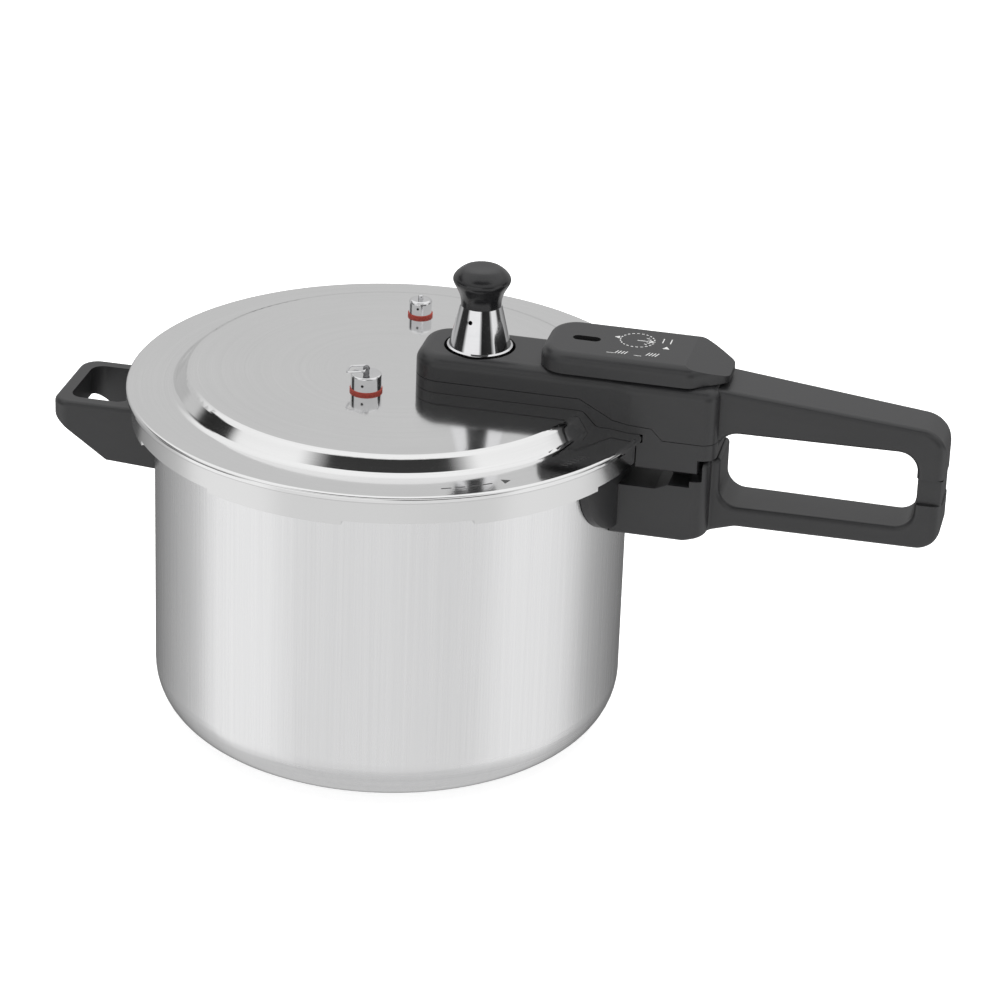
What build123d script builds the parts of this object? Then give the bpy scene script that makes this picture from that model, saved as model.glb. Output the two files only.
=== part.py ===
from build123d import *
import os
from math import cos, radians, sin

os.makedirs("parts", exist_ok=True)

# Stovetop pressure cooker. Millimetres, +Z up, origin at the centre of the pot's base.
# The long handle points along +X and the helper handle along -X.

# Fits
fit_gap = 0.05
running_gap = 0.08
seat_gap = 0.1
free_gap = 0.3
cut_margin = 1.0
cut_deep = 5.0
cut_high = 60.0

# Pot
pot_radius = 110.0
pot_wall = 3.0
pot_floor = 4.0
pot_corner = 24.0
pot_height = 158.5

# Bayonet: tabs on the pot's rim, lugs on the lid's skirt
lug_count = 6
first_lug_angle = 17.5
lug_angle = 32.0
tab_angle = 18.0
stop_angle = 2.0
stop_gap_angle = 0.5
tab_reach = 7.5
flange_reach = 2.6
flange_drop = 4.8
flange_thickness = 2.5
lug_thickness = 2.0
lug_reach = 5.1
lug_gap = 0.9

# Lid
lip_top_round = 1.5
lip_bottom_round = 0.9
lip_undercut = 0.6
lid_screw_x = pot_radius - 46.0
lid_screw_y = 11.0
gasket_height = 3.1
gasket_width = 9.0
lid_thickness = 2.4
disc_radius = pot_radius - 15.0
shoulder_foot_radius = pot_radius - 8.5
shoulder_round = 4.0
dome_rise = 7.0
skirt_gap = 1.7
skirt_thickness = 1.8
lip_reach = 2.6
lip_height = 3.2

# Lid handle
shoulder_corner = 9.0
shoulder_start = 15.0
shoulder_stop = 6.0
arm_overlap = 18.0
block_edge_round = 1.5
tongue_tip = 12.5
tongue_half_width = 20.0
tongue_corner = 13.0
tongue_height = 17.4
block_half_width = 22.5
block_end = pot_radius + 44.5
block_corner = 7.0
handle_round = 5.5
cover_thickness = 5.5
seam_height = 2.0
seam_cover = 3.2
seam_gap = 0.3
arm_root_half_width = 15.2
arm_end_half_width = 12.0
arm_end = pot_radius + 147.0
arm_length = arm_end - block_end
arm_end_drop = 11.3
arm_end_round = 13.0
arm_underside_drop = 22.6
arm_edge_round = 3.0
arm_end_corner = 5.0
hook_length = 12.5
loop_round = 9.0
hook_gap = 0.7

# Body handle
body_corner_start = 7.0
body_corner_round = 8.0
body_end_round = 11.0
body_arm_side_step = 1.7
body_plan_reach = 3.0
body_arm_corner = 1.2
trough_gap = 2.0
riser_gap = 2.0
riser_inner_radius = pot_radius + 40.5
riser_thickness = 5.5
riser_height = pot_height - 6.0
body_block_bottom = pot_height - 45.5
body_block_top = pot_height - 20.5
body_block_shoulder = pot_height - 15.0
body_block_step = pot_radius + 18.0
body_block_end = pot_radius + 39.0
body_block_half_width = 22.0
body_arm_top = pot_height - 29.5
body_arm_bottom = pot_height - 39.0
body_hook_top = pot_height - 5.0
spigot_height = 12.0
spigot_step = 1.2
wing_thickness = 3.5
wing_round = 27.0
wing_height = pot_height - 13.5
wing_top = pot_height - 11.3
wing_angle = 70.0

# Helper handle
helper_hole_corner = 6.0
helper_knee_rise = 1.5
helper_end = pot_radius + 48.0
helper_half_width = 26.0
helper_top = pot_height - 12.5
helper_bottom = pot_height - 41.0
helper_knee = pot_radius + 21.0
helper_bar_depth = 8.0
helper_bar = 7.0
helper_corner = 9.0
helper_root = pot_radius + 13.0
helper_edge_round = 2.5

# Brackets, rivets and screws
strap_thickness = 1.6
strap_angle = 17.0
strap_height = 18.0
bracket_height = pot_height - 31.5
bracket_tab_width = 14.0
rivet_radius = 2.0
rivet_head_radius = 3.6
rivet_head_height = 1.3
rivet_rows = 6.0
screw_radius = 2.0
screw_head_radius = 3.6
screw_head_height = 2.6
screw_head_round = 0.8
screw_slot_length = 4.0
screw_slot_width = 0.8
screw_slot_depth = 1.2
screw_cover = 6.0
bracket_tab_length = 26.0
tab_hole_reach = 21.0
helper_tab_length = 10.8
helper_hole_reach = 7.2

# Lock
slider_start_corner = 13.0
slider_shoulder_corner = 7.0
slider_tip_corner = 6.0
slider_screw_radius = 1.5
slider_screw_head_radius = 2.8
slider_screw_head_height = 1.8
slider_screw_length = 6.5
detent_spring_radius = 1.5
detent_spring_wire = 0.4
detent_spring_turns = 4
detent_depth = 8.4
slider_start = pot_radius - 39.2
slider_half_width = 21.5
slider_shoulder = pot_radius + 31.0
slider_tip = pot_radius + 47.0
slider_tip_half_width = 9.0
slider_height = 9.4
slider_wall_height = 4.6
slider_slope_start = slider_shoulder - 3.0
slider_tip_height = 2.6
slider_gap = 0.3
window_centre = pot_radius - 20.5
window_length = 12.8
window_width = 5.2
lock_travel = 7.0
bolt_half_width = 5.0
bolt_thickness = 1.4
bolt_drop = 5.4
bolt_leg_half_width = 3.0
bolt_leg_thickness = 2.0
bolt_leg_end = pot_radius + 34.0
bolt_leg_bottom = pot_height - 17.0
bolt_room = 1.0
boss_radius = 3.0
boss_positions = (pot_radius - 6.0, pot_radius + 18.0)
catch_height = pot_height - 12.0
catch_width = 4.7
catch_length = 6.8
detent_x = pot_radius + 6.0
detent_y = 12.0
detent_ball_radius = 2.0
detent_rise = 0.7

# Valves: places on the lid and main sizes
safety_radius = 7.1
safety_shank_radius = 4.0
safety_gasket_radius = 7.5
safety_gasket_height = 1.2
safety_height = 7.0
safety_port_radius = 1.8
safety_chamber_radius = 4.4
safety_plug_radius = 3.6
safety_hole_radius = 0.65
safety_spring_radius = 2.7
safety_spring_wire = 0.5
relief_radius = 5.4
relief_shank_radius = 3.4
relief_gasket_radius = 5.9
relief_gasket_height = 1.2
relief_height = 6.8
relief_port_radius = 1.6
relief_chamber_radius = 3.6
relief_plug_radius = 3.0
relief_hole_radius = 0.6
relief_spring_radius = 2.2
relief_spring_wire = 0.4
guide_radius = 3.4
guide_flange_radius = 4.4
float_head_radius = 4.0
spring_turns = 3
regulator_x = 40.0
safety_x = -6.6
safety_y = -25.8
relief_x = -4.4
relief_y = 67.4
float_x = pot_radius - 24.5
float_radius = 2.0
float_rise = 4.0
vent_radius = 3.2
vent_shank_radius = 4.0
vent_bore = 1.4
weight_radius = 15.05
weight_top_radius = 9.5
weight_rim = 3.0
weight_hole_radius = 1.0
weight_hole_angles = (-103.0, 17.0, 137.0)
knob_base_radius = 9.2
knob_radius = 13.2
recess_radius = 16.4

# Heights that follow
rim_top = pot_height
flange_top = rim_top - flange_drop
flange_bottom = flange_top - flange_thickness
lug_top = flange_bottom - lug_gap
lug_bottom = lug_top - lug_thickness
gasket_top = rim_top + gasket_height
ring_top = gasket_top + lid_thickness
disc_top = ring_top + dome_rise
disc_bottom = disc_top - lid_thickness
handle_top = disc_top + tongue_height
seam_top = disc_top + cover_thickness
block_seam = ring_top - seam_height
handle_bottom = lug_bottom - 0.9
arm_bottom = handle_top - arm_underside_drop
hook_drop = arm_bottom - body_hook_top - hook_gap
upper_loop_round = min(loop_round, 0.8 * hook_drop)
relief_cut_top = riser_height + riser_gap
bolt_plate_top = handle_top - bolt_drop + bolt_thickness
bolt_plate_bottom = handle_top - bolt_drop
slider_bottom = handle_top + slider_gap
slider_top = slider_bottom + slider_height
vent_top = handle_top + 10.6
weight_bottom = handle_top - 2.4
weight_top = handle_top + 20.3
weight_hole_height = handle_top + 14.8
knob_top = handle_top + 38.1

# Radii that follow
skirt_inner = pot_radius + tab_reach + skirt_gap - 0.5
skirt_outer = skirt_inner + skirt_thickness
lip_radius = skirt_outer + lip_reach
pot_inner = pot_radius - pot_wall
gasket_inner = pot_inner + 1.0
riser_outer = riser_inner_radius + riser_thickness


def ring_sector(inner_radius, outer_radius, width_angle):
    """Part of a flat ring, centred on +X."""
    half = width_angle / 2
    start = (cos(radians(half)), sin(radians(half)))
    with BuildSketch() as sector:
        with BuildLine():
            CenterArc((0, 0), inner_radius, -half, width_angle)
            CenterArc((0, 0), outer_radius, -half, width_angle)
            Line((inner_radius * start[0], inner_radius * start[1]),
                 (outer_radius * start[0], outer_radius * start[1]))
            Line((inner_radius * start[0], -inner_radius * start[1]),
                 (outer_radius * start[0], -outer_radius * start[1]))
        make_face()
    return sector.sketch


def round_corners(sketch, corners, radius):
    """Round the corners of a sketch that lie nearest to the given points."""
    for corner in corners:
        fillet(sketch.vertices().sort_by_distance(corner)[0], radius)


def stepped_pin(x, y, steps, bore=0.0):
    """A turned piece on a vertical axis: (radius, bottom, top) for each step."""
    with BuildPart() as turned:
        for radius, bottom, top in steps:
            with BuildSketch(Plane.XY.offset(bottom)):
                with Locations((x, y)):
                    Circle(radius)
            extrude(amount=top - bottom)
        if bore:
            with BuildSketch(Plane.XY.offset(steps[0][1] - 1)):
                with Locations((x, y)):
                    Circle(bore)
            extrude(amount=100, mode=Mode.SUBTRACT)
    return turned.part


def hex_nut(x, y, across_flats, bottom, top, bore):
    """A hexagon nut on a vertical axis."""
    with BuildPart() as nut:
        with BuildSketch(Plane.XY.offset(bottom)):
            with Locations((x, y)):
                RegularPolygon(across_flats / 2, 6, major_radius=False)
                Circle(bore, mode=Mode.SUBTRACT)
        extrude(amount=top - bottom)
        chamfer(nut.edges().filter_by(GeomType.LINE).group_by(Axis.Z)[-1], 0.6)
    return nut.part


def coil(x, y, radius, wire, bottom, top, turns):
    """A wire coil on a vertical axis, between two heights."""
    height = top - bottom - wire
    with BuildPart() as spring:
        with BuildLine(Plane.XY.offset(bottom + wire / 2)) as path:
            Helix(height / turns, height, radius)
        with BuildSketch(Plane(origin=path.line @ 0, z_dir=path.line % 0)):
            Circle(wire / 2)
        sweep()
    return spring.part.moved(Location((x, y, 0)))


def save(part, name):
    """Name a finished piece and write its file."""
    part.label = name
    export_step(part, "parts/" + name + ".step")


# ---------------------------------------------------------------- pot

strap_outer = pot_radius + strap_thickness
tab_top = bracket_height + strap_thickness / 2
tab_bottom = bracket_height - strap_thickness / 2
rivet_points = ((0.0, bracket_height - rivet_rows), (rivet_rows, bracket_height + rivet_rows),
                (-rivet_rows, bracket_height + rivet_rows))
rivet_inner = pot_inner - 0.55
rivet_outer = strap_outer
stop_mid_angle = first_lug_angle + 360 / lug_count - lug_angle / 2 - stop_gap_angle - stop_angle / 2

with BuildPart() as pot_body:
    with BuildSketch(Plane.XZ):
        with BuildLine():
            inner_corner = pot_corner - pot_wall
            Line((0, 0), (pot_radius - pot_corner, 0))
            RadiusArc((pot_radius - pot_corner, 0), (pot_radius, pot_corner), -pot_corner)
            Polyline((pot_radius, pot_corner), (pot_radius, rim_top), (pot_inner, rim_top),
                     (pot_inner, pot_floor + inner_corner))
            RadiusArc((pot_inner, pot_floor + inner_corner), (pot_inner - inner_corner, pot_floor), inner_corner)
            Polyline((pot_inner - inner_corner, pot_floor), (0, pot_floor), (0, 0))
        make_face()
    revolve(axis=Axis.Z)
    with BuildSketch(Plane.XY.offset(flange_bottom)):
        Circle(pot_radius + flange_reach)
        Circle(pot_radius - pot_wall / 2, mode=Mode.SUBTRACT)
        with PolarLocations(0, lug_count, first_lug_angle):
            add(ring_sector(pot_radius, pot_radius + tab_reach, tab_angle))
    extrude(amount=flange_thickness)
    with BuildSketch(Plane.XY.offset(lug_bottom)):
        with PolarLocations(0, 1, stop_mid_angle):
            add(ring_sector(pot_radius - pot_wall / 2, pot_radius + tab_reach - 1, stop_angle))
    extrude(amount=flange_bottom - lug_bottom)
    for side in (1, -1):
        with BuildSketch(Plane.YZ):
            with Locations(*rivet_points):
                Circle(rivet_radius + fit_gap)
        extrude(amount=side * (pot_radius + 1), mode=Mode.SUBTRACT)
save(pot_body.part, "pot_body")


def wall_bracket(side, tab_length, hole_reach):
    """A steel strap on the pot's wall with a tab that reaches into a handle. side is 1 on +X, -1 on -X."""
    turn = 0 if side > 0 else 180
    with BuildPart() as bracket:
        with BuildSketch(Plane.XY.offset(bracket_height - strap_height / 2)):
            with PolarLocations(0, 1, turn):
                add(ring_sector(pot_radius + fit_gap, strap_outer, strap_angle))
        extrude(amount=strap_height)
        with BuildSketch(Plane.XY.offset(tab_bottom)):
            with Locations((side * (pot_radius + 0.8 + tab_length / 2), 0)):
                Rectangle(tab_length, bracket_tab_width)
        extrude(amount=strap_thickness)
        with BuildSketch(Plane.YZ):
            with Locations(*rivet_points):
                Circle(rivet_radius + fit_gap)
        extrude(amount=side * (pot_radius + 5), mode=Mode.SUBTRACT)
        with BuildSketch(Plane.XY.offset(tab_bottom)):
            with Locations((side * (pot_radius + hole_reach), 0)):
                Circle(screw_radius + fit_gap)
        extrude(amount=strap_thickness, mode=Mode.SUBTRACT)
    return bracket.part


def wall_rivets(side):
    """Three rivets that hold a bracket to the pot's wall, each a separate solid."""
    with BuildPart() as rivets:
        for reach, length, radius in (
            (rivet_inner - rivet_head_height, rivet_head_height, rivet_head_radius),
            (rivet_inner, rivet_outer - rivet_inner, rivet_radius),
            (rivet_outer, rivet_head_height, rivet_head_radius),
        ):
            with BuildSketch(Plane.YZ.offset(side * reach)):
                with Locations(*rivet_points):
                    Circle(radius)
            extrude(amount=side * length)
    return rivets.part


save(wall_bracket(1, bracket_tab_length, tab_hole_reach), "body_bracket")
save(wall_rivets(1), "body_rivets")
save(wall_bracket(-1, helper_tab_length, helper_hole_reach), "helper_bracket")
save(wall_rivets(-1), "helper_rivets")


def bracket_pocket(side, tab_length):
    """Cut the room that a wall bracket and its rivets take in the handle being built."""
    turn = 0 if side > 0 else 180
    with BuildSketch(Plane.XY.offset(bracket_height - strap_height / 2 - free_gap)) as strap_room:
        with PolarLocations(0, 1, turn):
            add(ring_sector(pot_radius - 2, strap_outer + free_gap, strap_angle + 1))
    extrude(strap_room.sketch, amount=strap_height + 2 * free_gap, mode=Mode.SUBTRACT)
    with BuildSketch(Plane.YZ) as head_room:
        with Locations(*rivet_points):
            Circle(rivet_head_radius + free_gap)
    extrude(head_room.sketch, amount=side * (rivet_outer + rivet_head_height + free_gap), mode=Mode.SUBTRACT)
    with BuildSketch(Plane.XY.offset(tab_bottom - seat_gap)) as tab_room:
        with Locations((side * (pot_radius + tab_length / 2), 0)):
            Rectangle(tab_length + 2.5, bracket_tab_width + 2 * free_gap)
    extrude(tab_room.sketch, amount=strap_thickness + 2 * seat_gap, mode=Mode.SUBTRACT)


# ---------------------------------------------------------------- body handle

body_plan_back = pot_radius - 8.0
body_plan_end = body_block_end + body_plan_reach
body_arm_half_width = arm_root_half_width - body_arm_side_step
body_screw_x = pot_radius + tab_hole_reach
body_screw_seat = tab_bottom - screw_cover
body_screw_top = tab_top + screw_cover

# Wing that spreads the load on the pot's wall
with BuildPart() as handle_wing:
    with BuildSketch(Plane.YZ.offset(pot_radius / 2)):
        with Locations((0, wing_height)):
            SlotCenterToCenter(2 * body_block_half_width, 2 * wing_round)
        with Locations((0, wing_top + wing_round)):
            Rectangle(4 * pot_radius, 2 * wing_round, mode=Mode.SUBTRACT)
    extrude(amount=pot_radius)
    with BuildSketch(Plane.XY.offset(body_block_bottom)):
        add(ring_sector(pot_radius + free_gap, pot_radius + wing_thickness, wing_angle))
    extrude(amount=wing_top - body_block_bottom, mode=Mode.INTERSECT)

with BuildPart() as body_handle:
    with BuildSketch(Plane.XZ) as body_side:
        with BuildLine():
            Polyline(
                (body_plan_back, body_block_bottom), (body_block_end - body_corner_start, body_block_bottom),
                (riser_outer + body_corner_round, body_arm_bottom), (arm_end, body_arm_bottom),
                (arm_end, body_hook_top), (arm_end - hook_length, body_hook_top),
                (arm_end - hook_length, body_arm_top), (riser_outer, body_arm_top),
                (riser_outer, riser_height), (body_block_end, riser_height),
                (body_block_end, body_block_shoulder), (body_block_end - 8, body_block_shoulder),
                (body_block_step, body_block_top), (body_plan_back, body_block_top), close=True,
            )
        make_face()
        round_corners(body_side, [(arm_end, body_arm_bottom)], body_end_round)
        round_corners(body_side, [(arm_end - hook_length, body_arm_top), (riser_outer, body_arm_top)], loop_round)
        round_corners(body_side, [(body_block_end - body_corner_start, body_block_bottom),
                                  (riser_outer + body_corner_round, body_arm_bottom)], body_corner_round)
        round_corners(body_side, [(riser_outer, riser_height)], 2)
    extrude(amount=body_block_half_width + 5, both=True)
    with BuildSketch(Plane.XY.offset(body_block_bottom - cut_deep)) as body_plan:
        with BuildLine():
            Polyline(
                (body_plan_back, -body_block_half_width), (body_plan_end, -body_block_half_width),
                (body_plan_end, -body_arm_half_width), (arm_end, -arm_end_half_width),
                (arm_end, arm_end_half_width), (body_plan_end, body_arm_half_width),
                (body_plan_end, body_block_half_width), (body_plan_back, body_block_half_width), close=True,
            )
        make_face()
        for side in (1, -1):
            round_corners(body_plan, [(body_plan_end, side * body_block_half_width)], block_corner)
            round_corners(body_plan, [(body_plan_end, side * body_arm_half_width)], body_arm_corner)
            round_corners(body_plan, [(arm_end, side * arm_end_half_width)], arm_end_corner)
    extrude(amount=cut_high, mode=Mode.INTERSECT)
    long_edges = body_handle.edges().filter_by(lambda edge: edge.center().X > riser_outer + 12)
    outer_edges = long_edges.filter_by(lambda edge: abs(edge.center().Y) > arm_end_half_width - 1.5)
    fillet(outer_edges.filter_by(lambda edge: edge.length > arm_length / 2), arm_edge_round - 0.6)
    with BuildSketch(Plane.XY.offset(body_hook_top - spigot_height)):
        with Locations((arm_end - hook_length / 2, 0)):
            Rectangle(hook_length + 6, 2 * arm_end_half_width + 6)
            Rectangle(hook_length - spigot_step, 2 * (arm_end_half_width - spigot_step) - 1, mode=Mode.SUBTRACT)
    extrude(amount=spigot_height + 5, mode=Mode.SUBTRACT)
    # Block below the riser: the wall that faces the lid handle is an arc about the pot's axis.
    with BuildSketch(Plane.XY.offset(body_block_shoulder)):
        Circle(riser_inner_radius)
    extrude(amount=cut_high, mode=Mode.SUBTRACT)
    # Trough under the lock bolt's leg.
    with BuildSketch(Plane.XY.offset(bolt_leg_bottom - bolt_room)):
        Circle(bolt_leg_end + bolt_room + 0.3)
        Circle(bolt_leg_end - lock_travel - bolt_leg_thickness - trough_gap, mode=Mode.SUBTRACT)
    extrude(amount=cut_high, mode=Mode.SUBTRACT)
    # Catch posts on both sides of the leg when it is locked.
    catch_end = bolt_leg_end - bolt_leg_thickness - 1.2
    with BuildSketch(Plane.XY.offset(body_block_top - 1)):
        for side in (1, -1):
            with Locations((catch_end - catch_length / 2, side * (bolt_leg_half_width + free_gap + catch_width / 2))):
                Rectangle(catch_length, catch_width)
    extrude(amount=catch_height - body_block_top + 1)
    add(handle_wing.part)
    with BuildSketch(Plane.XY.offset(body_block_bottom - cut_deep)):
        Circle(pot_radius + free_gap)
    extrude(amount=cut_high, mode=Mode.SUBTRACT)
    with BuildSketch(Plane.XY.offset(lug_bottom - 1.2)):
        Circle(skirt_outer + 1.5)
    extrude(amount=cut_high, mode=Mode.SUBTRACT)
    bracket_pocket(1, bracket_tab_length)
    with BuildSketch(Plane.XY.offset(body_block_bottom - cut_margin)):
        with Locations((body_screw_x, 0)):
            Circle(screw_head_radius + free_gap)
    extrude(amount=body_screw_seat - body_block_bottom + cut_margin, mode=Mode.SUBTRACT)
    with BuildSketch(Plane.XY.offset(body_block_bottom)):
        with Locations((body_screw_x, 0)):
            Circle(screw_radius + fit_gap)
    extrude(amount=body_screw_top + cut_margin - body_block_bottom, mode=Mode.SUBTRACT)
save(body_handle.part, "body_handle")


def pan_screw(points, seat, top, name):
    """Screws that point up, their heads below the seat, all with one length."""
    with BuildPart() as screws:
        with BuildSketch(Plane.XY.offset(seat - screw_head_height)):
            with Locations(*points):
                Circle(screw_head_radius)
        extrude(amount=screw_head_height)
        fillet(screws.edges().group_by(Axis.Z)[0], screw_head_round)
        with BuildSketch(Plane.XY.offset(seat - screw_head_height)):
            with Locations(*points):
                Rectangle(screw_slot_length, screw_slot_width)
                Rectangle(screw_slot_width, screw_slot_length)
        extrude(amount=screw_slot_depth, mode=Mode.SUBTRACT)
        with BuildSketch(Plane.XY.offset(seat)):
            with Locations(*points):
                Circle(screw_radius)
        extrude(amount=top - seat)
    save(screws.part, name)


# ---------------------------------------------------------------- helper handle

helper_screw_x = -(pot_radius + helper_hole_reach)
helper_screw_seat = tab_bottom - screw_cover / 2
helper_screw_top = tab_top + screw_cover
helper_hole_end = helper_end - helper_bar

with BuildPart() as helper_handle:
    with BuildSketch(Plane.XZ) as helper_side:
        with BuildLine():
            Polyline(
                (-(pot_radius - 5), helper_top), (-helper_end, helper_top),
                (-helper_end, helper_top - helper_bar_depth), (-helper_knee, helper_bottom + helper_knee_rise),
                (-(pot_radius - 5), helper_bottom), close=True,
            )
        make_face()
    extrude(amount=helper_half_width, both=True)
    with BuildSketch(Plane.XY.offset(helper_bottom - cut_deep)) as helper_plan:
        with BuildLine():
            Polyline(
                (-(pot_radius - 10), -helper_half_width), (-helper_end, -helper_half_width),
                (-helper_end, helper_half_width), (-(pot_radius - 10), helper_half_width), close=True,
            )
        make_face()
        round_corners(helper_plan, [(-helper_end, -helper_half_width), (-helper_end, helper_half_width)], helper_corner)
    extrude(amount=cut_high, mode=Mode.INTERSECT)
    fillet(helper_handle.faces().sort_by(Axis.Z)[-1].edges().filter_by(lambda edge: edge.center().X < -pot_radius),
           helper_edge_round)
    with BuildSketch(Plane.XY.offset(helper_bottom - cut_deep)):
        with Locations((-(helper_hole_end + helper_root) / 2, 0)):
            RectangleRounded(helper_hole_end - helper_root, 2 * (helper_half_width - helper_bar),
                             helper_hole_corner)
    extrude(amount=cut_high, mode=Mode.SUBTRACT)
    with BuildSketch(Plane.XY.offset(helper_bottom - cut_deep)):
        Circle(pot_radius + free_gap)
    extrude(amount=cut_high, mode=Mode.SUBTRACT)
    bracket_pocket(-1, helper_tab_length)
    with BuildSketch(Plane.XY.offset(helper_bottom - cut_deep)):
        with Locations((helper_screw_x, 0)):
            Circle(screw_head_radius + free_gap)
    extrude(amount=helper_screw_seat - helper_bottom + cut_deep, mode=Mode.SUBTRACT)
    with BuildSketch(Plane.XY.offset(helper_bottom)):
        with Locations((helper_screw_x, 0)):
            Circle(screw_radius + fit_gap)
    extrude(amount=helper_screw_top + cut_margin - helper_bottom, mode=Mode.SUBTRACT)
save(helper_handle.part, "helper_handle")

pan_screw([(body_screw_x, 0)], body_screw_seat, body_screw_top, "body_handle_screw")
pan_screw([(helper_screw_x, 0)], helper_screw_seat, helper_screw_top, "helper_handle_screw")

# ---------------------------------------------------------------- sealing gasket

with BuildPart() as sealing_gasket:
    with BuildSketch(Plane.XZ):
        with Locations((gasket_inner + gasket_width / 2, rim_top + gasket_height / 2)):
            Rectangle(gasket_width, gasket_height)
        with Locations((gasket_inner + gasket_width / 4, rim_top + gasket_height / 2)):
            Rectangle(gasket_width / 2 + 0.1, gasket_height / 3, mode=Mode.SUBTRACT)
    revolve(axis=Axis.Z)
save(sealing_gasket.part, "sealing_gasket")

# ---------------------------------------------------------------- lid plate

valve_holes = (
    (regulator_x, 0.0, vent_shank_radius + fit_gap),
    (safety_x, safety_y, safety_shank_radius + fit_gap),
    (relief_x, relief_y, relief_shank_radius + fit_gap),
    (float_x, 0.0, guide_radius + fit_gap),
    (lid_screw_x, lid_screw_y, screw_radius + fit_gap),
    (lid_screw_x, -lid_screw_y, screw_radius + fit_gap),
)


def lid_top_line(raise_by, end_radius):
    """The lid's upper outline from its axis to a radius, as a rounded line."""
    FilletPolyline(
        (0, disc_top + raise_by), (disc_radius + raise_by, disc_top + raise_by),
        (shoulder_foot_radius + raise_by, ring_top + raise_by), (end_radius, ring_top + raise_by),
        radius=shoulder_round,
    )


with BuildPart() as lid_plate:
    with BuildSketch(Plane.XZ) as lid_section:
        with BuildLine():
            lid_top_line(0.0, lip_radius)
            Polyline(
                (lip_radius, ring_top), (lip_radius, ring_top - lip_height),
                (skirt_outer, ring_top - lip_height - lip_undercut),
                (skirt_outer, lug_top), (skirt_inner, lug_top), (skirt_inner, gasket_top),
            )
            FilletPolyline(
                (skirt_inner, gasket_top), (shoulder_foot_radius - lid_thickness, gasket_top),
                (disc_radius - lid_thickness, disc_bottom), (0, disc_bottom), radius=shoulder_round,
            )
            Line((0, disc_bottom), (0, disc_top))
        make_face()
        round_corners(lid_section, [(lip_radius, ring_top)], lip_top_round)
        round_corners(lid_section, [(lip_radius, ring_top - lip_height)], lip_bottom_round)
    revolve(axis=Axis.Z)
    with BuildSketch(Plane.XY.offset(lug_bottom)):
        with PolarLocations(0, lug_count, first_lug_angle):
            add(ring_sector(skirt_inner - lug_reach, skirt_outer, lug_angle))
    extrude(amount=lug_thickness)
    for hole_x, hole_y, hole_radius in valve_holes:
        with BuildSketch(Plane.XY.offset(disc_bottom - cut_margin)):
            with Locations((hole_x, hole_y)):
                Circle(hole_radius)
        extrude(amount=lid_thickness + 2 * cut_margin, mode=Mode.SUBTRACT)
save(lid_plate.part, "lid_plate")

# ---------------------------------------------------------------- lid handle, whole outer form

with BuildPart() as lid_arm_form:
    with BuildSketch(Plane.XZ) as arm_side:
        with BuildLine():
            Polyline(
                (block_end - arm_overlap, handle_top), (arm_end, handle_top - arm_end_drop),
                (arm_end, body_hook_top + hook_gap), (arm_end - hook_length, body_hook_top + hook_gap),
                (arm_end - hook_length, arm_bottom), (block_end, arm_bottom), (block_end, handle_bottom + 4),
                (block_end - arm_overlap, handle_bottom + 4), close=True,
            )
        make_face()
        round_corners(arm_side, [(arm_end, handle_top - arm_end_drop)], arm_end_round)
        round_corners(arm_side, [(arm_end - hook_length, arm_bottom), (block_end, arm_bottom)], upper_loop_round)
    extrude(amount=block_half_width, both=True)
    with BuildSketch(Plane.XY.offset(handle_bottom - cut_deep)) as arm_plan:
        with BuildLine():
            Polyline(
                (block_end - arm_overlap, -arm_root_half_width), (block_end, -arm_root_half_width),
                (arm_end, -arm_end_half_width), (arm_end, arm_end_half_width),
                (block_end, arm_root_half_width), (block_end - arm_overlap, arm_root_half_width), close=True,
            )
        make_face()
        round_corners(arm_plan, [(arm_end, -arm_end_half_width), (arm_end, arm_end_half_width)], arm_end_corner)
    extrude(amount=cut_high, mode=Mode.INTERSECT)
    fillet(lid_arm_form.edges().filter_by(lambda edge: edge.length > arm_length / 2), arm_edge_round)

with BuildPart() as lid_clearance:
    with BuildSketch(Plane.XZ):
        with BuildLine():
            lid_top_line(seat_gap, lip_radius + free_gap)
            Polyline(
                (lip_radius + free_gap, ring_top + seat_gap),
                (lip_radius + free_gap, ring_top - lip_height - lip_undercut),
                (skirt_outer + free_gap, ring_top - lip_height - 2 * lip_undercut),
                (skirt_outer + free_gap, handle_bottom - cut_deep),
                (0, handle_bottom - cut_deep), (0, disc_top + seat_gap),
            )
        make_face()
    revolve(axis=Axis.Z)

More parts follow.
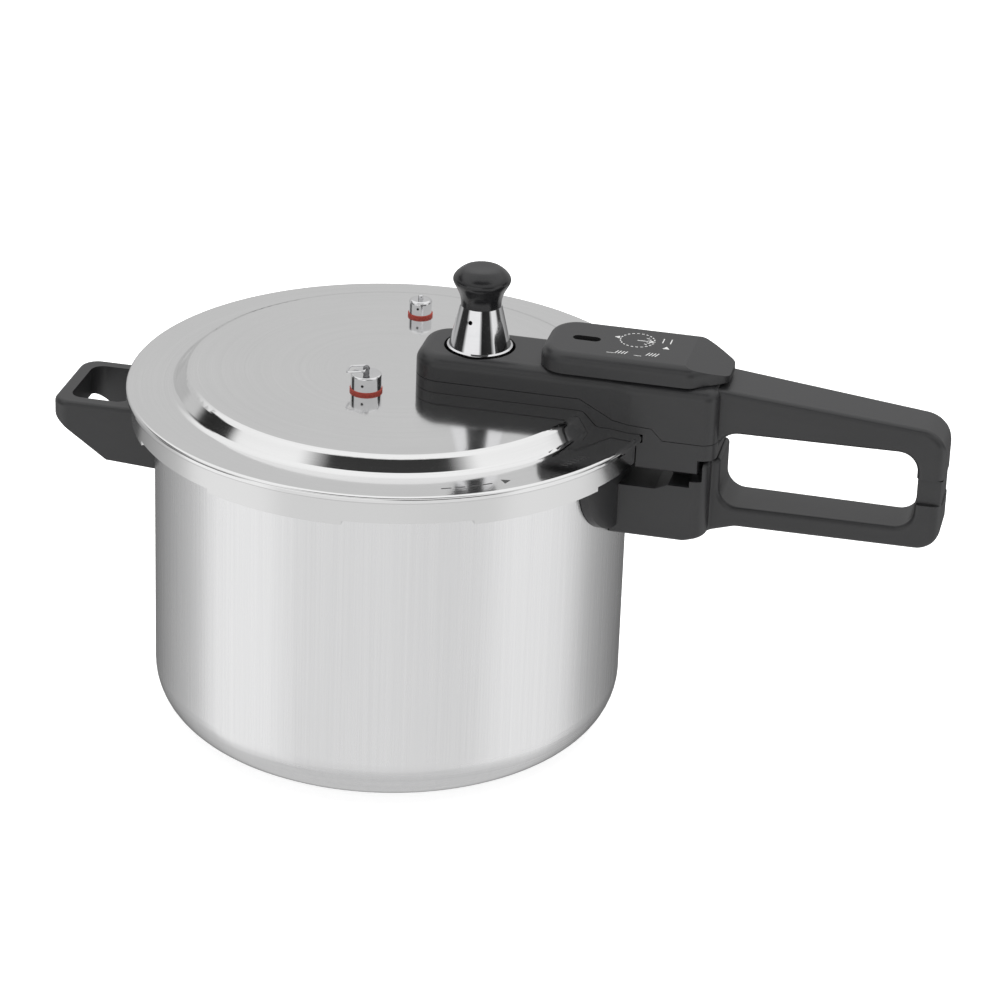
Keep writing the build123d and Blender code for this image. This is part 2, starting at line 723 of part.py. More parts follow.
with BuildPart() as lid_handle_form:
    with BuildSketch(Plane.XY.offset(handle_bottom)) as handle_plan:
        with BuildLine():
            Polyline(
                (tongue_tip, -tongue_half_width), (skirt_outer - shoulder_start, -tongue_half_width),
                (skirt_outer - shoulder_stop, -block_half_width), (block_end, -block_half_width),
                (block_end, block_half_width), (skirt_outer - shoulder_stop, block_half_width),
                (skirt_outer - shoulder_start, tongue_half_width), (tongue_tip, tongue_half_width), close=True,
            )
        make_face()
        for side in (1, -1):
            round_corners(handle_plan, [(tongue_tip, side * tongue_half_width)], tongue_corner)
            round_corners(handle_plan, [(skirt_outer - shoulder_start, side * tongue_half_width)], shoulder_corner)
            round_corners(handle_plan, [(skirt_outer - shoulder_stop, side * block_half_width)], shoulder_corner)
            round_corners(handle_plan, [(block_end, side * block_half_width)], block_corner)
    extrude(amount=handle_top - handle_bottom)
    fillet(lid_handle_form.faces().sort_by(Axis.Z)[-1].edges(), handle_round)
    bottom_edges = lid_handle_form.faces().sort_by(Axis.Z)[0].edges()
    fillet(bottom_edges.filter_by(lambda edge: edge.center().X > lip_radius + shoulder_stop), block_edge_round)
    add(lid_arm_form.part)
    add(lid_clearance.part, mode=Mode.SUBTRACT)
    # The lower end of the block clears the body handle's riser as the lid turns.
    with BuildSketch(Plane.XY.offset(handle_bottom - cut_deep)):
        Circle(riser_outer + 8)
        Circle(riser_inner_radius - riser_gap, mode=Mode.SUBTRACT)
    extrude(amount=relief_cut_top - handle_bottom + cut_deep, mode=Mode.SUBTRACT)

with BuildPart() as seam_region:
    with BuildSketch(Plane.XZ):
        with BuildLine():
            Polyline(
                (-10, handle_bottom - 10), (-10, seam_top), (disc_radius - 4, seam_top),
                (shoulder_foot_radius + 5, ring_top + seam_cover + 1), (lip_radius + 2, ring_top + seam_cover),
                (lip_radius + 7, block_seam), (block_end + 10, block_seam),
                (block_end + 10, handle_bottom - 10), close=True,
            )
        make_face()
    extrude(amount=block_half_width + 10, both=True)

lid_screw_points = [(lid_screw_x, lid_screw_y), (lid_screw_x, -lid_screw_y)]
lid_screw_top = handle_top - 4.6
cover_screw_points = [(skirt_outer + 8.0, 13.0), (skirt_outer + 8.0, -13.0)]
cover_screw_seat = handle_bottom + 5.5
cover_screw_top = handle_top - 10.0
leg_room_start = bolt_leg_end - bolt_leg_thickness - lock_travel - 0.6
leg_room_end = bolt_leg_end + 0.8
bolt_room_start = window_centre - window_length / 2 - lock_travel - 5.0


def handle_holes():
    """Cut what both halves of the lid handle leave room for."""
    cuts = (
        (lid_screw_points, screw_radius + fit_gap, disc_top - 2, lid_screw_top + 1),
        (cover_screw_points, screw_radius + fit_gap, handle_bottom - 1, cover_screw_top + 1),
        (cover_screw_points, screw_head_radius + free_gap, handle_bottom - 1, cover_screw_seat),
        ([(float_x, 0)], float_radius + running_gap + 0.3, disc_top - 2, handle_top + 1),
        ([(float_x, 0)], guide_flange_radius + free_gap, disc_top - 2, disc_top + 2.0),
    )
    for points, radius, bottom, top in cuts:
        with BuildSketch(Plane.XY.offset(bottom)) as hole:
            with Locations(*points):
                Circle(radius)
        extrude(hole.sketch, amount=top - bottom, mode=Mode.SUBTRACT)
    with BuildSketch(Plane.XY.offset(handle_bottom - 1)) as leg_room:
        with Locations(((leg_room_start + leg_room_end) / 2, 0)):
            Rectangle(leg_room_end - leg_room_start, 2 * (bolt_leg_half_width + free_gap))
    extrude(leg_room.sketch, amount=bolt_plate_top - handle_bottom + 1, mode=Mode.SUBTRACT)


with BuildPart() as lid_handle_upper:
    add(lid_handle_form.part)
    add(seam_region.part.moved(Location((0, 0, seam_gap))), mode=Mode.SUBTRACT)
    with BuildSketch(Plane.XY.offset(seam_top)):
        with Locations((regulator_x, 0)):
            Circle(recess_radius)
    extrude(amount=tongue_height, mode=Mode.SUBTRACT)
    with BuildSketch(Plane.XY.offset(block_seam)):
        with Locations(((bolt_room_start + leg_room_end) / 2, 0)):
            Rectangle(leg_room_end - bolt_room_start, 2 * (bolt_half_width + bolt_room))
    extrude(amount=bolt_plate_top + seat_gap - block_seam, mode=Mode.SUBTRACT)
    with BuildSketch(Plane.XY.offset(bolt_plate_top)):
        for boss_x in boss_positions:
            with Locations((boss_x - lock_travel / 2, 0)):
                SlotCenterToCenter(lock_travel, 2 * (boss_radius + free_gap))
    extrude(amount=cut_high, mode=Mode.SUBTRACT)
    with BuildSketch(Plane.XY.offset(handle_top - detent_depth - seat_gap)):
        with Locations((detent_x, detent_y)):
            Circle(detent_ball_radius + fit_gap)
    extrude(amount=cut_high, mode=Mode.SUBTRACT)
    handle_holes()
save(lid_handle_upper.part, "lid_handle_upper")

lid_tab_top = block_seam - 2.0
lid_tab_bottom = lid_tab_top - strap_thickness
lid_strap_outer = skirt_outer + strap_thickness
lid_tab_start = skirt_outer - 3.0
lid_tab_end = cover_screw_points[0][0] + 5.0
lid_strap_angle = 17.0
lid_tab_half_width = 17.0

with BuildPart() as lid_bracket:
    with BuildSketch(Plane.XY.offset(lug_top + 1)):
        add(ring_sector(skirt_outer + fit_gap, lid_strap_outer, lid_strap_angle))
    extrude(amount=lid_tab_top - lug_top - 1)
    with BuildSketch(Plane.XY.offset(lid_tab_bottom)):
        with Locations(((lid_tab_start + lid_tab_end) / 2, 0)):
            Rectangle(lid_tab_end - lid_tab_start, 2 * lid_tab_half_width)
        Circle(skirt_outer + fit_gap, mode=Mode.SUBTRACT)
        with Locations(*cover_screw_points):
            Circle(screw_radius + fit_gap, mode=Mode.SUBTRACT)
    extrude(amount=strap_thickness)
save(lid_bracket.part, "lid_bracket")

with BuildPart() as lid_handle_lower:
    add(lid_handle_form.part)
    add(seam_region.part, mode=Mode.INTERSECT)
    with BuildSketch(Plane.XY.offset(disc_top - 2)):
        with Locations((regulator_x, 0)):
            Circle(vent_shank_radius + free_gap)
    extrude(amount=cover_thickness + 4, mode=Mode.SUBTRACT)
    with BuildSketch(Plane.XY.offset(lug_top + 1 - seat_gap)):
        add(ring_sector(skirt_outer - 1, lid_strap_outer + seat_gap, lid_strap_angle + 1))
    extrude(amount=lid_tab_top - lug_top - 1 + 2 * seat_gap, mode=Mode.SUBTRACT)
    with BuildSketch(Plane.XY.offset(lid_tab_bottom - seat_gap)):
        with Locations(((lid_tab_start + lid_tab_end) / 2, 0)):
            Rectangle(lid_tab_end - lid_tab_start + 2 * seat_gap, 2 * (lid_tab_half_width + seat_gap))
    extrude(amount=strap_thickness + 2 * seat_gap, mode=Mode.SUBTRACT)
    handle_holes()
save(lid_handle_lower.part, "lid_handle_lower")

pan_screw(cover_screw_points, cover_screw_seat, cover_screw_top, "cover_screws")

# Screws through the lid with a seal under each head
lid_seal_height = 1.2
lid_screw_seat = disc_bottom - lid_seal_height
pan_screw(lid_screw_points, lid_screw_seat, lid_screw_top, "lid_screws")
with BuildPart() as lid_screw_seals:
    with BuildSketch(Plane.XY.offset(lid_screw_seat)):
        with Locations(*lid_screw_points):
            Circle(screw_head_radius + 1.2)
            Circle(screw_radius + fit_gap, mode=Mode.SUBTRACT)
    extrude(amount=lid_seal_height)
save(lid_screw_seals.part, "lid_screw_seals")

# ---------------------------------------------------------------- vent pipe and regulator weight

vent_washer_height = 1.2
vent_flange_bottom = disc_bottom - vent_washer_height - 1.6
vent_nut_height = 5.0
save(stepped_pin(regulator_x, 0, (
    (7.0, vent_flange_bottom, disc_bottom - vent_washer_height),
    (vent_shank_radius, vent_flange_bottom, seam_top + vent_nut_height + 0.8),
    (vent_radius, seam_top, vent_top),
), vent_bore), "vent_pipe")
save(stepped_pin(regulator_x, 0, ((6.4, disc_bottom - vent_washer_height, disc_bottom),),
                 vent_shank_radius + fit_gap), "vent_washer")
save(hex_nut(regulator_x, 0, 14.0, seam_top, seam_top + vent_nut_height, vent_shank_radius + fit_gap), "vent_nut")

vent_filter_height = 6.0
with BuildPart() as vent_filter:
    with BuildSketch(Plane.XY.offset(vent_flange_bottom - vent_filter_height)):
        with Locations((regulator_x, 0)):
            Circle(6.2)
    extrude(amount=vent_filter_height)
    with BuildSketch(Plane.XY.offset(vent_flange_bottom - vent_filter_height + 0.8)):
        with Locations((regulator_x, 0)):
            Circle(5.4)
    extrude(amount=vent_filter_height, mode=Mode.SUBTRACT)
    with BuildSketch(Plane.XY.offset(vent_flange_bottom - vent_filter_height - 1)):
        with Locations((regulator_x, 0)):
            with PolarLocations(3.2, 6):
                Circle(0.8)
    extrude(amount=4, mode=Mode.SUBTRACT)
save(vent_filter.part, "vent_filter")

regulator_place = Location((regulator_x, 0, 0))
chamber_radius = 4.6
chamber_bottom = vent_top + 1.5
chamber_top = weight_top - 3.0
stud_radius = 2.0

with BuildPart() as weight_body:
    with BuildSketch(Plane.XZ):
        with BuildLine():
            Polyline(
                (0, weight_bottom), (weight_radius, weight_bottom), (weight_radius, weight_bottom + weight_rim),
                (weight_radius - 0.9, weight_bottom + weight_rim + 0.5), (weight_top_radius, weight_top),
                (0, weight_top), close=True,
            )
        make_face()
    revolve(axis=Axis.Z)
    for radius, bottom, top in (
        (weight_radius - 3.0, weight_bottom - 1, weight_bottom + 5),
        (vent_radius + running_gap, weight_bottom - 1, chamber_bottom + 0.1),
        (chamber_radius, chamber_bottom, chamber_top),
        (stud_radius + fit_gap, chamber_top - 1, weight_top + 1),
    ):
        with BuildSketch(Plane.XY.offset(bottom)):
            Circle(radius)
        extrude(amount=top - bottom, mode=Mode.SUBTRACT)
    for hole_angle in weight_hole_angles:
        with BuildSketch(Plane(origin=(0, 0, weight_hole_height),
                               z_dir=(cos(radians(hole_angle)), sin(radians(hole_angle)), 0))):
            Circle(weight_hole_radius)
        extrude(amount=weight_radius, mode=Mode.SUBTRACT)
save(weight_body.part.moved(regulator_place), "weight_body")

stud_top = weight_top + 9.0
with BuildPart() as needle_stud:
    with BuildSketch(Plane.XZ) as stud_section:
        with BuildLine():
            Polyline((0, vent_top - 0.6), (3.4, chamber_bottom + 1.2), (3.4, chamber_top), (stud_radius, chamber_top),
                     (stud_radius, stud_top), (0, stud_top), close=True)
        make_face()
    revolve(axis=Axis.Z)
save(needle_stud.part.moved(regulator_place), "needle_stud")

with BuildPart() as weight_knob:
    with BuildSketch(Plane.XZ):
        with BuildLine():
            Line((0, weight_top), (knob_base_radius, weight_top))
            Spline((knob_base_radius, weight_top), (knob_base_radius + 0.5, weight_top + 4.0),
                   (knob_radius - 1.3, weight_top + 9.0), (knob_radius, weight_top + 12.5),
                   (knob_radius - 3.0, knob_top - 1.3), (0, knob_top), tangents=((0, 1), (-1, 0)))
            Line((0, knob_top), (0, weight_top))
        make_face()
    revolve(axis=Axis.Z)
    with BuildSketch(Plane.XY.offset(weight_top - 1)):
        Circle(stud_radius + fit_gap)
    extrude(amount=stud_top + 1.5 - weight_top, mode=Mode.SUBTRACT)
save(weight_knob.part.moved(regulator_place), "weight_knob")

# ---------------------------------------------------------------- front safety valve

safety_base = disc_top + safety_gasket_height
safety_top = safety_base + safety_height
safety_shank_bottom = disc_bottom - 4.6
safety_seat = safety_base + 0.4
safety_cap = safety_top - 1.0
safety_stem_radius = 1.4
safety_plug_height = 1.2
safety_ball_radius = 1.6
ring_pivot = safety_top + 2.2
ring_wire = 0.5
ring_width = 7.5
ring_height = 8.6
ring_corner = 1.6
ring_lean = 100.0

save(stepped_pin(safety_x, safety_y, ((safety_gasket_radius, disc_top, safety_base),),
                 safety_shank_radius + fit_gap), "safety_valve_gasket")
with BuildPart() as safety_valve_body:
    with BuildSketch(Plane.XY.offset(safety_shank_bottom)):
        Circle(safety_shank_radius)
    extrude(amount=safety_base - safety_shank_bottom)
    with BuildSketch(Plane.XY.offset(safety_base)):
        Circle(safety_radius)
    extrude(amount=safety_top - safety_base)
    fillet(safety_valve_body.edges().group_by(Axis.Z)[-1], 0.8)
    for radius, bottom, top in (
        (safety_port_radius, safety_shank_bottom - cut_margin, safety_seat + seat_gap),
        (safety_chamber_radius, safety_seat, safety_cap),
        (safety_stem_radius + running_gap, safety_cap - cut_margin, safety_top + cut_margin),
    ):
        with BuildSketch(Plane.XY.offset(bottom)):
            Circle(radius)
        extrude(amount=top - bottom, mode=Mode.SUBTRACT)
    with BuildSketch(Plane.XZ):
        with Locations((0, (safety_seat + safety_cap) / 2)):
            Circle(safety_hole_radius)
    extrude(amount=2 * safety_radius, both=True, mode=Mode.SUBTRACT)
save(safety_valve_body.part.moved(Location((safety_x, safety_y, 0))), "safety_valve_body")
save(hex_nut(safety_x, safety_y, 12.0, disc_bottom - 3.6, disc_bottom, safety_shank_radius + fit_gap),
     "safety_valve_nut")

with BuildPart() as safety_stem:
    for radius, bottom, top in (
        (safety_plug_radius, safety_seat, safety_seat + safety_plug_height),
        (safety_stem_radius, safety_seat, ring_pivot),
    ):
        with BuildSketch(Plane.XY.offset(bottom)):
            Circle(radius)
        extrude(amount=top - bottom)
    with Locations((0, 0, ring_pivot)):
        Sphere(safety_ball_radius)
    with BuildSketch(Plane.XZ):
        with Locations((0, ring_pivot)):
            Circle(ring_wire + running_gap)
    extrude(amount=2 * safety_ball_radius, both=True, mode=Mode.SUBTRACT)
save(safety_stem.part.moved(Location((safety_x, safety_y, 0))), "safety_stem")
safety_spring_bottom = safety_seat + safety_plug_height
save(coil(safety_x, safety_y, safety_spring_radius, safety_spring_wire, safety_spring_bottom, safety_cap,
          spring_turns), "safety_spring")

ring_plane = Plane(origin=(0, 0, ring_pivot), x_dir=(0, 1, 0),
                   z_dir=(cos(radians(ring_lean)), 0, sin(radians(ring_lean))))
with BuildPart() as safety_pull_ring:
    with BuildLine(ring_plane):
        FilletPolyline((0, 0), (ring_width / 2, 0), (ring_width / 2, ring_height), (0, ring_height), radius=ring_corner)
    with BuildSketch(Plane(origin=(0, 0, ring_pivot), z_dir=(0, 1, 0))):
        Circle(ring_wire)
    sweep()
    mirror(about=Plane.XZ)
save(safety_pull_ring.part.moved(Location((safety_x, safety_y, 0))), "safety_pull_ring")

# ---------------------------------------------------------------- rear relief valve

relief_base = disc_top + relief_gasket_height
relief_top = relief_base + relief_height
relief_shank_bottom = disc_bottom - 4.2
relief_seat = relief_base + 1.0
relief_cap = relief_top - 1.6
relief_plunger_radius = 1.2
relief_plug_height = 1.4

save(stepped_pin(relief_x, relief_y, ((relief_gasket_radius, disc_top, relief_base),),
                 relief_shank_radius + fit_gap), "relief_valve_gasket")
with BuildPart() as relief_valve_body:
    with BuildSketch(Plane.XY.offset(relief_shank_bottom)):
        Circle(relief_shank_radius)
    extrude(amount=relief_base - relief_shank_bottom)
    with BuildSketch(Plane.XY.offset(relief_base)):
        Circle(relief_radius)
    extrude(amount=relief_top - relief_base)
    fillet(relief_valve_body.edges().group_by(Axis.Z)[-1], 1.4)
    for radius, bottom, top in (
        (relief_port_radius, relief_shank_bottom - cut_margin, relief_seat + seat_gap),
        (relief_chamber_radius, relief_seat, relief_cap),
        (relief_plunger_radius + running_gap, relief_cap - cut_margin, relief_top + cut_margin),
    ):
        with BuildSketch(Plane.XY.offset(bottom)):
            Circle(radius)
        extrude(amount=top - bottom, mode=Mode.SUBTRACT)
    with BuildSketch(Plane.XZ):
        with Locations((0, relief_seat + 2.6)):
            Circle(relief_hole_radius)
    extrude(amount=2 * relief_radius, both=True, mode=Mode.SUBTRACT)
save(relief_valve_body.part.moved(Location((relief_x, relief_y, 0))), "relief_valve_body")
save(hex_nut(relief_x, relief_y, 10.0, disc_bottom - 3.2, disc_bottom, relief_shank_radius + fit_gap), "relief_valve_nut")
with BuildPart() as relief_plunger:
    for radius, bottom, top in (
        (relief_plug_radius, relief_seat, relief_seat + relief_plug_height),
        (relief_plunger_radius, relief_seat, relief_top + 2.2),
    ):
        with BuildSketch(Plane.XY.offset(bottom)):
            Circle(radius)
        extrude(amount=top - bottom)
    fillet(relief_plunger.edges().group_by(Axis.Z)[-1], 0.8)
save(relief_plunger.part.moved(Location((relief_x, relief_y, 0))), "relief_plunger")
relief_spring_bottom = relief_seat + relief_plug_height
save(coil(relief_x, relief_y, relief_spring_radius, relief_spring_wire, relief_spring_bottom, relief_cap,
          spring_turns), "relief_spring")

# ---------------------------------------------------------------- float (pressure indicator)

guide_flange = 1.2
guide_bottom = disc_bottom - 3.0
float_seal_height = 1.8
float_seal_top = guide_bottom - float_rise - seat_gap
float_seal_bottom = float_seal_top - float_seal_height
float_top = slider_bottom - 0.8
save(stepped_pin(float_x, 0, ((guide_radius, guide_bottom, disc_top),
                              (guide_flange_radius, disc_top, disc_top + guide_flange)),
                 float_radius + running_gap), "float_guide")
save(stepped_pin(float_x, 0, ((float_head_radius, float_seal_bottom - 1.2, float_seal_bottom),
                              (float_radius, float_seal_bottom, float_top))), "float_pin")
save(stepped_pin(float_x, 0, ((float_head_radius - seat_gap, float_seal_bottom, float_seal_top),),
                 float_radius + fit_gap), "float_seal")

# ---------------------------------------------------------------- lock slider and bolt

with BuildPart() as lock_slider:
    with BuildSketch(Plane.XY.offset(slider_bottom)) as slider_plan:
        with BuildLine():
            Polyline(
                (slider_start, -slider_half_width), (slider_shoulder, -slider_half_width),
                (slider_tip, -slider_tip_half_width), (slider_tip, slider_tip_half_width),
                (slider_shoulder, slider_half_width), (slider_start, slider_half_width), close=True,
            )
        make_face()
        for side in (1, -1):
            round_corners(slider_plan, [(slider_start, side * slider_half_width)], slider_start_corner)
            round_corners(slider_plan, [(slider_shoulder, side * slider_half_width)], slider_shoulder_corner)
            round_corners(slider_plan, [(slider_tip, side * slider_tip_half_width)], slider_tip_corner)
    extrude(amount=slider_height)
    fillet(lock_slider.faces().sort_by(Axis.Z)[-1].edges(), slider_height - slider_wall_height)
    with BuildSketch(Plane.XZ):
        with BuildLine():
            Polyline(
                (slider_slope_start, slider_top), (slider_tip + 1, slider_bottom + slider_tip_height),
                (slider_tip + 1, slider_top + 1), (slider_slope_start, slider_top + 1), close=True,
            )
        make_face()
    extrude(amount=2 * slider_half_width, both=True, mode=Mode.SUBTRACT)
    with BuildSketch(Plane.XY.offset(slider_bottom - 1)):
        with Locations((window_centre, 0)):
            SlotOverall(window_length, window_width)
    extrude(amount=slider_height + 2, mode=Mode.SUBTRACT)
    with BuildSketch(Plane.XY.offset(bolt_plate_top)):
        for boss_x in boss_positions:
            with Locations((boss_x, 0)):
                Circle(boss_radius)
    extrude(amount=slider_bottom - bolt_plate_top)
    with BuildSketch(Plane.XY.offset(bolt_plate_top - 1)):
        for boss_x in boss_positions:
            with Locations((boss_x, 0)):
                Circle(slider_screw_radius + fit_gap)
    extrude(amount=slider_screw_length + 0.5, mode=Mode.SUBTRACT)
    with BuildSketch(Plane.XY.offset(slider_bottom)):
        with Locations((detent_x + lock_travel / 2, detent_y)):
            SlotCenterToCenter(lock_travel, 3.6)
    extrude(amount=detent_rise + 0.2, mode=Mode.SUBTRACT)
save(lock_slider.part, "lock_slider")

with BuildPart() as lock_bolt:
    bolt_start = window_centre - window_length / 2 - 4.0
    with BuildSketch(Plane.XY.offset(bolt_plate_bottom)):
        with Locations(((bolt_start + bolt_leg_end) / 2, 0)):
            Rectangle(bolt_leg_end - bolt_start, 2 * bolt_half_width)
        with Locations((window_centre, 0)):
            SlotOverall(window_length, window_width - 0.4, mode=Mode.SUBTRACT)
        for boss_x in boss_positions:
            with Locations((boss_x, 0)):
                Circle(slider_screw_radius + fit_gap, mode=Mode.SUBTRACT)
    extrude(amount=bolt_thickness)
    with BuildSketch(Plane.XY.offset(bolt_leg_bottom)):
        with Locations((bolt_leg_end - bolt_leg_thickness / 2, 0)):
            Rectangle(bolt_leg_thickness, 2 * bolt_leg_half_width)
    extrude(amount=bolt_plate_top - bolt_leg_bottom)
save(lock_bolt.part, "lock_bolt")

with BuildPart() as slider_screws:
    with BuildSketch(Plane.XY.offset(bolt_plate_bottom - slider_screw_head_height)):
        for boss_x in boss_positions:
            with Locations((boss_x, 0)):
                Circle(slider_screw_head_radius)
    extrude(amount=slider_screw_head_height)
    fillet(slider_screws.edges().group_by(Axis.Z)[0], 0.6)
    with BuildSketch(Plane.XY.offset(bolt_plate_bottom)):
        for boss_x in boss_positions:
            with Locations((boss_x, 0)):
                Circle(slider_screw_radius)
    extrude(amount=slider_screw_length)
save(slider_screws.part, "slider_screws")

detent_centre = slider_bottom + detent_rise - detent_ball_radius
with BuildPart() as detent_ball:
    with Locations((detent_x, detent_y, detent_centre)):
        Sphere(detent_ball_radius)
save(detent_ball.part, "detent_ball")
save(coil(detent_x, detent_y, detent_spring_radius, detent_spring_wire, handle_top - detent_depth,
          detent_centre - detent_ball_radius + free_gap, detent_spring_turns), "detent_spring")
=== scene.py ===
from math import cos, pi, radians, sin

import bpy
from mathutils import Matrix, Vector


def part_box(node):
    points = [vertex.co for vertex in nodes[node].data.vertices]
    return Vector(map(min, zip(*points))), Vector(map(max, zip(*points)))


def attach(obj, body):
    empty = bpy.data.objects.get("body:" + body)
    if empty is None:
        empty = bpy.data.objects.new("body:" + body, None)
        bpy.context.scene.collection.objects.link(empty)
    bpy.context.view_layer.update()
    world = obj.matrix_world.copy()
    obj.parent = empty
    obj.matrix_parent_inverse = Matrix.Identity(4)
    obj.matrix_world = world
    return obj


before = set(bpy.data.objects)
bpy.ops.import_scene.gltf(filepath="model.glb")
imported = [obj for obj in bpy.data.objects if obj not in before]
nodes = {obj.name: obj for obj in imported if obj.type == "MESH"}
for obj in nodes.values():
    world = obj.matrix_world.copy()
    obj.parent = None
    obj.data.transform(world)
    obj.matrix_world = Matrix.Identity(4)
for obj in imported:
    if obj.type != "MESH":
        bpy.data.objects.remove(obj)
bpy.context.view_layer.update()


# ---------------------------------------------------------------- pot
# Drawn aluminium pot. Its wall is brushed upwards with a fine belt, its base and corner are spun,
# with one finish inside and out.

class Value:
    """A number or colour that varies over a surface. Python's operators add Math nodes to its finish."""

    def __init__(self, finish, socket):
        self.finish = finish
        self.socket = socket

    def maths(self, operation, *others):
        return self.finish.add("Math", {"operation": operation}, *others)

    def __add__(self, other):
        return self.maths("ADD", self, other)

    def __sub__(self, other):
        return self.maths("SUBTRACT", self, other)

    def __rsub__(self, other):
        return self.maths("SUBTRACT", other, self)

    def __mul__(self, other):
        return self.maths("MULTIPLY", self, other)

    def __truediv__(self, other):
        return self.maths("DIVIDE", self, other)

    def __pow__(self, other):
        return self.maths("POWER", self, other)

    def __gt__(self, other):
        return self.maths("GREATER_THAN", self, other)

    def __lt__(self, other):
        return self.maths("LESS_THAN", self, other)

    __radd__ = __add__
    __rmul__ = __mul__

    def __abs__(self):
        return self.maths("ABSOLUTE", self)


class Shading:
    """A node tree. Its add method makes any shader node and returns its output as a Value."""

    def __init__(self, tree):
        self.tree = tree

    def add(self, kind, settings=None, *values, output=0, **named):
        is_whole_name = kind.startswith(("Geometry", "Function", "NodeGroup"))
        node = self.tree.nodes.new(kind if is_whole_name else "ShaderNode" + kind)
        for key, value in (settings or {}).items():
            if key == "stops":
                elements = node.color_ramp.elements
                elements.remove(elements[1])
                elements[0].color = (value[0][1],) * 3 + (1.0,)
                for place, shade in value[1:]:
                    elements.new(place).color = (shade, shade, shade, 1.0)
            else:
                setattr(node, key, value)
        for index, value in list(enumerate(values)) + list(named.items()):
            socket = node.inputs[index if isinstance(index, int) else index.replace("_", " ")]
            self.feed(socket, value)
        return Value(self, node.outputs[output])

    def feed(self, socket, value):
        if isinstance(value, Value):
            self.tree.links.new(value.socket, socket)
        else:
            socket.default_value = value

    def place(self, coordinates="Object"):
        """The surface point's X, Y and Z on the object, in metres."""
        point = self.add("TexCoord", output=coordinates)
        axes = self.add("SeparateXYZ", None, point)
        return [Value(self, axes.socket.node.outputs[axis]) for axis in "XYZ"]

    def vector(self, x, y, z):
        return self.add("CombineXYZ", None, x, y, z)

    def noise(self, vector, scale, detail=2.0, roughness=0.5):
        return self.add("TexNoise", None, Vector=vector, Scale=scale, Detail=detail, Roughness=roughness)

    def shade(self, factor, dark, light):
        """A colour between two, by a factor from 0 to 1."""
        mixed = self.add("Mix", {"data_type": "RGBA"}, output=2)
        node = mixed.socket.node
        self.feed(node.inputs[0], factor)
        self.feed(node.inputs[6], (*dark, 1.0))
        self.feed(node.inputs[7], (*light, 1.0))
        return mixed

    def ramp(self, factor, low, high, bottom=0.0, top=1.0):
        """factor taken from the range low..high to bottom..top, and held there."""
        return self.add("MapRange", None, factor, low, high, bottom, top)



class Finish(Shading):
    """One material."""

    def __init__(self, name, colour, roughness, metallic=0.0, **constants):
        self.material = bpy.data.materials.new(name)
        self.material.use_nodes = True
        super().__init__(self.material.node_tree)
        self.shader = self.tree.nodes["Principled BSDF"]
        self.shader.inputs["Base Color"].default_value = (*colour, 1.0)
        self.shader.inputs["Roughness"].default_value = roughness
        self.shader.inputs["Metallic"].default_value = metallic
        for socket_name, value in constants.items():
            self.shader.inputs[socket_name.replace("_", " ")].default_value = value

    def set(self, socket_name, value):
        self.feed(self.shader.inputs[socket_name], value)
        return self

    def bump(self, height, distance, strength=1.0):
        """height, from 0 to 1, raises the surface by up to distance metres."""
        normal = self.add("Bump", None, Height=height, Distance=distance, Strength=strength)
        return self.set("Normal", normal)

    def on(self, *node_names):
        for node_name in node_names:
            node = nodes[node_name]
            node.data.materials.clear()
            node.data.materials.append(self.material)
        return self


corner_height = 0.026

brushed_pot = Finish("brushed_pot_aluminium", (0.80, 0.80, 0.80), 0.34, 1.0)
x, y, z = brushed_pot.place()
radius = (x * x + y * y) ** 0.5
upward_grain = brushed_pot.noise(brushed_pot.vector(x * 2300, y * 2300, z * 9), 1.0, 3.0, 0.62)
wide_grain = brushed_pot.noise(brushed_pot.vector(x * 420, y * 420, z * 3.5), 1.0, 2.0)
spun_rings = brushed_pot.noise(brushed_pot.vector(radius * 2600, x * 14, y * 14), 1.0, 2.0)
spun = brushed_pot.ramp(z, corner_height, corner_height - 0.003)
grain = upward_grain * (1 - spun) + spun_rings * spun
handling = brushed_pot.noise(brushed_pot.vector(x, y, z), 26.0, 4.0, 0.6)
brushed_pot.set("Roughness", 0.17 + grain * 0.12 + handling * 0.05)
brushed_pot.set("Base Color", brushed_pot.shade(grain * 0.55 + wide_grain * 0.3 + handling * 0.15,
                                                (0.72, 0.72, 0.73), (0.95, 0.95, 0.95)))
brushed_pot.bump(grain * 0.8 + wide_grain * 0.2, 0.00006, 0.55)
brushed_pot.on("pot_body")


# ---------------------------------------------------------------- lid
# Pressed aluminium lid. The disc and its outer ring are polished on a lathe, so fine rings run
# round them, and the skirt below the lip is brushed along its length. The skirt's colour is also
# painted darker, a painted shade on the upright band below the lip.

disc_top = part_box("float_guide")[1][2] - 0.0012
skirt_top = disc_top - 0.0102

polished_lid = Finish("polished_lid_aluminium", (0.86, 0.86, 0.86), 0.16, 1.0)
x, y, z = polished_lid.place()
radius = (x * x + y * y) ** 0.5
rings = polished_lid.noise(polished_lid.vector(radius * 2100, x * 7, y * 7), 1.0, 3.0, 0.6)
broad_rings = polished_lid.noise(polished_lid.vector(radius * 240, x * 3, y * 3), 1.0, 2.0)
skirt_grain = polished_lid.noise(polished_lid.vector(z * 2400, x * 22, y * 22), 1.0, 3.0, 0.6)
skirt = polished_lid.ramp(z, skirt_top, skirt_top - 0.0006)
smudges = polished_lid.noise(polished_lid.vector(x, y, z), 19.0, 5.0, 0.62)
grain = rings * (1 - skirt) + skirt_grain * skirt
polished_lid.set("Roughness", 0.06 + grain * 0.05 + polished_lid.ramp(smudges, 0.45, 0.75) * 0.04 + skirt * 0.14)
# Base colour: grain, rings and smudges, less a painted shade that darkens the whole skirt.
polished_lid.set("Base Color", polished_lid.shade(grain * 0.55 + broad_rings * 0.2 + smudges * 0.25 - skirt * 0.75,
                                                  (0.78, 0.78, 0.78), (0.92, 0.92, 0.92)))
polished_lid.bump(grain * 0.9 + broad_rings * 0.1, 0.00002, 0.3)
polished_lid.on("lid_plate")


